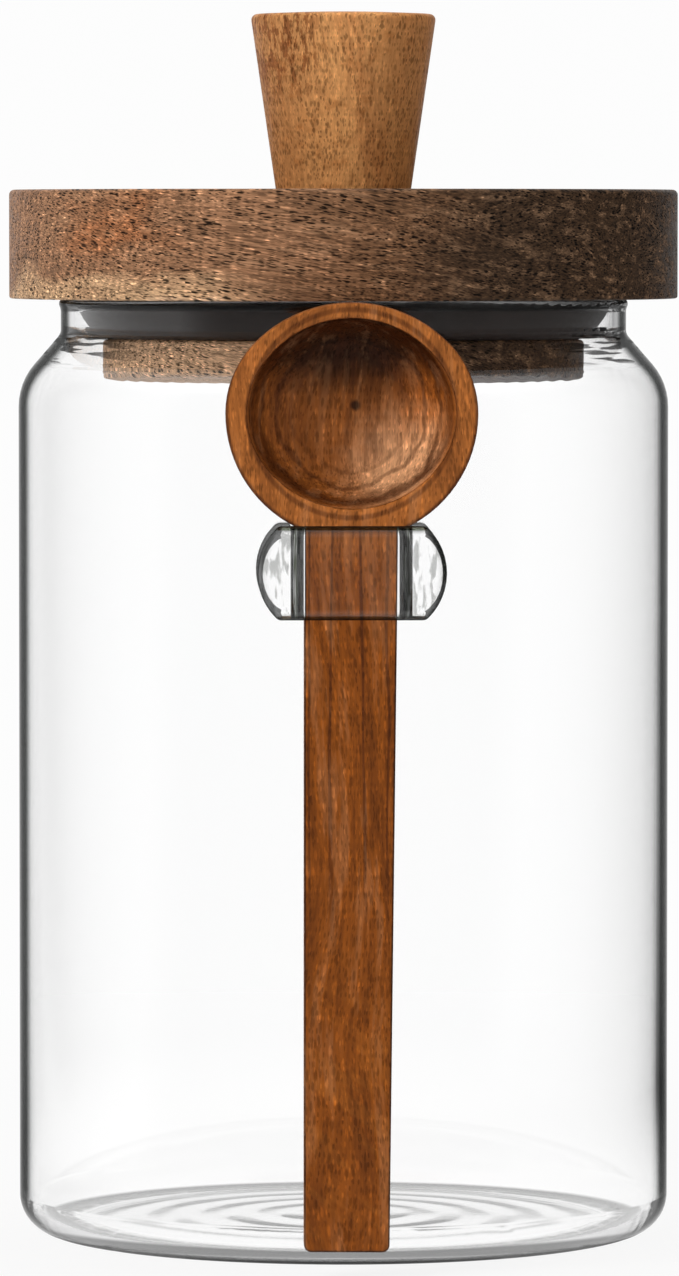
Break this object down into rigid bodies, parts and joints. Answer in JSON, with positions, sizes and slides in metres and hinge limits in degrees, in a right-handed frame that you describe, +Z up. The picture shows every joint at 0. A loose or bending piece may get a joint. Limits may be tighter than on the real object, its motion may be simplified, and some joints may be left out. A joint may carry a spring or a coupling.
{
  "type": "storage jar",
  "caption": "Clear glass storage jar with a wooden lid, cone knob and silicone seal, and a wooden spoon hung in a glass loop on its front.",
  "frame": {"origin": "centre of the jar's foot, on the plane it stands on", "axes": "+Z up along the jar's axis, -Y towards the loop and the spoon, +X to the right as one faces the spoon"},
  "size_m": [0.1028, 0.1186, 0.1879],
  "materials": {
    "clear_glass": "clear polished borosilicate glass",
    "lid_wood": "satin oiled dark acacia, grain across the disc",
    "knob_wood": "satin oiled golden acacia, upright grain",
    "spoon_wood": "satin oiled reddish acacia, grain along the handle",
    "silicone": "matt dark grey silicone"
  },
  "bodies": {
    "root": {"jar": "clear_glass", "lid": "lid_wood", "seal": "silicone", "knob": "knob_wood", "spoon": "spoon_wood"}
  },
  "joints": []
}
